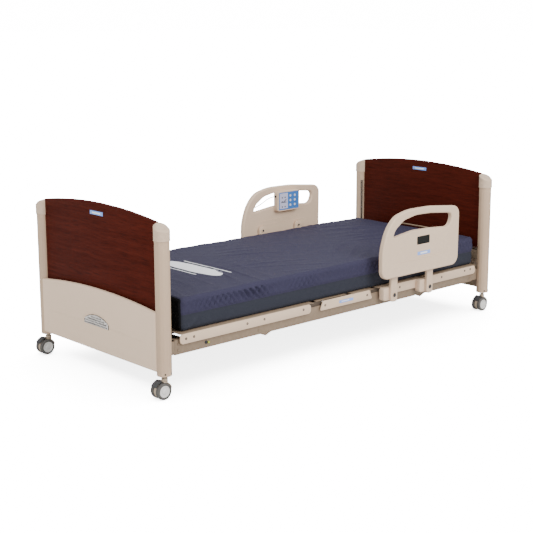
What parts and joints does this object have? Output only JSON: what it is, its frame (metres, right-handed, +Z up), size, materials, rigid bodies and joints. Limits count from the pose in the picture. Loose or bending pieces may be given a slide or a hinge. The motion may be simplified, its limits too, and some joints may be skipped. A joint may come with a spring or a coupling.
{
  "type": "adjustable hospital bed",
  "caption": "Low height-adjustable care bed with arched laminate ends, folding mattress deck, swing-down assist rails, wired pendant and braked twin-wheel casters.",
  "frame": {"origin": "centre of the footprint on the floor, deck at its lowest and flat", "axes": "+X towards the head end, -Y to the patient's left, +Z up"},
  "size_m": [2.3226, 1.102, 0.7999],
  "materials": {
    "posts": "satin",
    "moulded_beige": "satin",
    "laminate": "satin",
    "frame_paint": "satin",
    "bright_steel": "satin",
    "drive_grey": "satin",
    "dark_plastic": "matte",
    "mattress": "matte",
    "cord_grey": "satin",
    "black_plastic": "satin",
    "key_white": "satin",
    "caster_beige": "satin",
    "caster_tyre": "satin"
  },
  "bodies": {
    "end_frames": {"head_posts": "posts", "foot_posts": "posts", "post_caps": "moulded_beige", "head_wood_panel": "laminate", "foot_wood_panel": "laminate", "head_lower_panel": "moulded_beige", "foot_lower_panel": "moulded_beige", "end_crossbeams": "frame_paint", "lift_screws": "bright_steel", "caster_sockets": "bright_steel"},
    "deck_frame": {"frame_rails": "frame_paint", "frame_crossmembers": "frame_paint", "lift_carriages": "frame_paint", "lift_gearmotors": "drive_grey", "iv_sockets": "frame_paint", "seat_deck": "frame_paint", "middle_side_panels": "moulded_beige", "actuators": "drive_grey", "control_box": "dark_plastic", "mattress_seat": "mattress"},
    "back_section": {"back_deck": "frame_paint", "head_side_panels": "moulded_beige", "rail_brackets": "frame_paint", "mattress_back": "mattress"},
    "thigh_section": {"thigh_deck": "frame_paint", "mattress_thigh": "mattress"},
    "calf_section": {"calf_deck": "frame_paint", "foot_side_panels": "moulded_beige", "mattress_calf": "mattress"},
    "back_rod": {"back_actuator_rod": "bright_steel"},
    "knee_rod": {"knee_actuator_rod": "bright_steel"},
    "left_rail": {"left_rail": "moulded_beige"},
    "right_rail": {"right_rail": "moulded_beige", "pendant_housing": "moulded_beige", "cord_glands": "dark_plastic", "pendant_cord": "cord_grey"},
    "left_paddle": {"left_rail_paddle": "black_plastic"},
    "left_arm_front": {"left_arm_front": "frame_paint"},
    "left_arm_rear": {"left_arm_rear": "frame_paint"},
    "right_paddle": {"right_rail_paddle": "black_plastic"},
    "right_arm_front": {"right_arm_front": "frame_paint"},
    "right_arm_rear": {"right_arm_rear": "frame_paint"},
    "pendant_key_1": {"pendant_key_1": "key_white"},
    "pendant_key_2": {"pendant_key_2": "key_white"},
    "pendant_key_3": {"pendant_key_3": "key_white"},
    "pendant_key_4": {"pendant_key_4": "key_white"},
    "pendant_key_5": {"pendant_key_5": "key_white"},
    "pendant_key_6": {"pendant_key_6": "key_white"},
    "caster_head_left": {"caster_fork_head_left": "caster_beige"},
    "wheels_head_left": {"caster_wheels_head_left": "caster_tyre"},
    "pedal_head_left": {"caster_pedal_head_left": "black_plastic"},
    "caster_head_right": {"caster_fork_head_right": "caster_beige"},
    "wheels_head_right": {"caster_wheels_head_right": "caster_tyre"},
    "pedal_head_right": {"caster_pedal_head_right": "black_plastic"},
    "caster_foot_left": {"caster_fork_foot_left": "caster_beige"},
    "wheels_foot_left": {"caster_wheels_foot_left": "caster_tyre"},
    "pedal_foot_left": {"caster_pedal_foot_left": "black_plastic"},
    "caster_foot_right": {"caster_fork_foot_right": "caster_beige"},
    "wheels_foot_right": {"caster_wheels_foot_right": "caster_tyre"},
    "pedal_foot_right": {"caster_pedal_foot_right": "black_plastic"}
  },
  "joints": [
    {"name": "deck_lift", "type": "slide", "parent": "end_frames", "child": "deck_frame", "axis": [0, 0, 1], "range_m": [0, 0.4]},
    {"name": "back_raise", "type": "hinge", "parent": "deck_frame", "child": "back_section", "pos_m": [0.235, 0, 0.244], "axis": [0, -1, 0], "range_deg": [0, 60]},
    {"name": "thigh_raise", "type": "hinge", "parent": "deck_frame", "child": "thigh_section", "pos_m": [0.05, 0, 0.244], "axis": [0, 1, 0], "range_deg": [0, 30]},
    {"name": "knee_bend", "type": "hinge", "parent": "thigh_section", "child": "calf_section", "pos_m": [-0.19, 0, 0.244], "axis": [0, 1, 0], "range_deg": [-39.67, 1]},
    {"name": "back_rod_slide", "type": "slide", "parent": "deck_frame", "child": "back_rod", "axis": [1, 0, 0], "range_m": [0, 0.066]},
    {"name": "knee_rod_slide", "type": "slide", "parent": "deck_frame", "child": "knee_rod", "axis": [-1, 0, 0], "range_m": [0, 0.039]},
    {"name": "left_arm_front_swing", "type": "hinge", "parent": "back_section", "child": "left_arm_front", "pos_m": [0.325, -0.499, 0.222], "axis": [0, -1, 0], "range_deg": [0, 100]},
    {"name": "left_arm_rear_swing", "type": "hinge", "parent": "back_section", "child": "left_arm_rear", "pos_m": [0.605, -0.499, 0.222], "axis": [0, -1, 0], "range_deg": [0, 100]},
    {"name": "left_rail_level", "type": "hinge", "parent": "left_arm_front", "child": "left_rail", "pos_m": [0.325, -0.499, 0.42], "axis": [0, -1, 0], "range_deg": [-100, 0]},
    {"name": "left_paddle_lift", "type": "slide", "parent": "left_rail", "child": "left_paddle", "axis": [0, 0, 1], "range_m": [0, 0.003], "stiffness_N_per_m": 400, "springref_m": -0.004},
    {"name": "right_arm_front_swing", "type": "hinge", "parent": "back_section", "child": "right_arm_front", "pos_m": [0.325, 0.499, 0.222], "axis": [0, -1, 0], "range_deg": [0, 100]},
    {"name": "right_arm_rear_swing", "type": "hinge", "parent": "back_section", "child": "right_arm_rear", "pos_m": [0.605, 0.499, 0.222], "axis": [0, -1, 0], "range_deg": [0, 100]},
    {"name": "right_rail_level", "type": "hinge", "parent": "right_arm_front", "child": "right_rail", "pos_m": [0.325, 0.499, 0.42], "axis": [0, -1, 0], "range_deg": [-100, 0]},
    {"name": "right_paddle_lift", "type": "slide", "parent": "right_rail", "child": "right_paddle", "axis": [0, 0, 1], "range_m": [0, 0.003], "stiffness_N_per_m": 400, "springref_m": -0.004},
    {"name": "key_1_press", "type": "slide", "parent": "right_rail", "child": "pendant_key_1", "axis": [0, 1, 0], "range_m": [0, 0.001], "stiffness_N_per_m": 600, "springref_m": -0.001},
    {"name": "key_2_press", "type": "slide", "parent": "right_rail", "child": "pendant_key_2", "axis": [0, 1, 0], "range_m": [0, 0.001], "stiffness_N_per_m": 600, "springref_m": -0.001},
    {"name": "key_3_press", "type": "slide", "parent": "right_rail", "child": "pendant_key_3", "axis": [0, 1, 0], "range_m": [0, 0.001], "stiffness_N_per_m": 600, "springref_m": -0.001},
    {"name": "key_4_press", "type": "slide", "parent": "right_rail", "child": "pendant_key_4", "axis": [0, 1, 0], "range_m": [0, 0.001], "stiffness_N_per_m": 600, "springref_m": -0.001},
    {"name": "key_5_press", "type": "slide", "parent": "right_rail", "child": "pendant_key_5", "axis": [0, 1, 0], "range_m": [0, 0.001], "stiffness_N_per_m": 600, "springref_m": -0.001},
    {"name": "key_6_press", "type": "slide", "parent": "right_rail", "child": "pendant_key_6", "axis": [0, 1, 0], "range_m": [0, 0.001], "stiffness_N_per_m": 600, "springref_m": -0.001},
    {"name": "swivel_head_left", "type": "hinge", "parent": "end_frames", "child": "caster_head_left", "pos_m": [1.1125, -0.465, 0.09], "axis": [0, 0, 1], "continuous": true},
    {"name": "roll_head_left", "type": "hinge", "parent": "caster_head_left", "child": "wheels_head_left", "pos_m": [1.0925, -0.465, 0.0375], "axis": [0, 1, 0], "continuous": true},
    {"name": "brake_head_left", "type": "hinge", "parent": "caster_head_left", "child": "pedal_head_left", "pos_m": [1.08597, -0.465, 0.0637], "axis": [0, -1, 0], "range_deg": [0, 7], "stiffness_Nm_per_rad": 2, "springref_deg": -2.86},
    {"name": "swivel_head_right", "type": "hinge", "parent": "end_frames", "child": "caster_head_right", "pos_m": [1.1125, 0.465, 0.09], "axis": [0, 0, 1], "continuous": true},
    {"name": "roll_head_right", "type": "hinge", "parent": "caster_head_right", "child": "wheels_head_right", "pos_m": [1.0925, 0.465, 0.0375], "axis": [0, 1, 0], "continuous": true},
    {"name": "brake_head_right", "type": "hinge", "parent": "caster_head_right", "child": "pedal_head_right", "pos_m": [1.08597, 0.465, 0.0637], "axis": [0, -1, 0], "range_deg": [0, 7], "stiffness_Nm_per_rad": 2, "springref_deg": -2.86},
    {"name": "swivel_foot_left", "type": "hinge", "parent": "end_frames", "child": "caster_foot_left", "pos_m": [-1.1125, -0.465, 0.09], "axis": [0, 0, 1], "continuous": true},
    {"name": "roll_foot_left", "type": "hinge", "parent": "caster_foot_left", "child": "wheels_foot_left", "pos_m": [-1.1325, -0.465, 0.0375], "axis": [0, 1, 0], "continuous": true},
    {"name": "brake_foot_left", "type": "hinge", "parent": "caster_foot_left", "child": "pedal_foot_left", "pos_m": [-1.13903, -0.465, 0.0637], "axis": [0, -1, 0], "range_deg": [0, 7], "stiffness_Nm_per_rad": 2, "springref_deg": -2.86},
    {"name": "swivel_foot_right", "type": "hinge", "parent": "end_frames", "child": "caster_foot_right", "pos_m": [-1.1125, 0.465, 0.09], "axis": [0, 0, 1], "continuous": true},
    {"name": "roll_foot_right", "type": "hinge", "parent": "caster_foot_right", "child": "wheels_foot_right", "pos_m": [-1.1325, 0.465, 0.0375], "axis": [0, 1, 0], "continuous": true},
    {"name": "brake_foot_right", "type": "hinge", "parent": "caster_foot_right", "child": "pedal_foot_right", "pos_m": [-1.13903, 0.465, 0.0637], "axis": [0, -1, 0], "range_deg": [0, 7], "stiffness_Nm_per_rad": 2, "springref_deg": -2.86}
  ],
  "couplings": [
    {"joint": "knee_bend", "follows": "thigh_raise", "ratio": -1.2892},
    {"joint": "back_rod_slide", "follows": "back_raise", "m_per_rad": 0.062},
    {"joint": "knee_rod_slide", "follows": "thigh_raise", "m_per_rad": 0.0716},
    {"joint": "left_rail_level", "follows": "left_arm_front_swing", "ratio": -1},
    {"joint": "left_arm_rear_swing", "follows": "left_arm_front_swing", "ratio": 1},
    {"joint": "right_rail_level", "follows": "right_arm_front_swing", "ratio": -1},
    {"joint": "right_arm_rear_swing", "follows": "right_arm_front_swing", "ratio": 1}
  ]
}
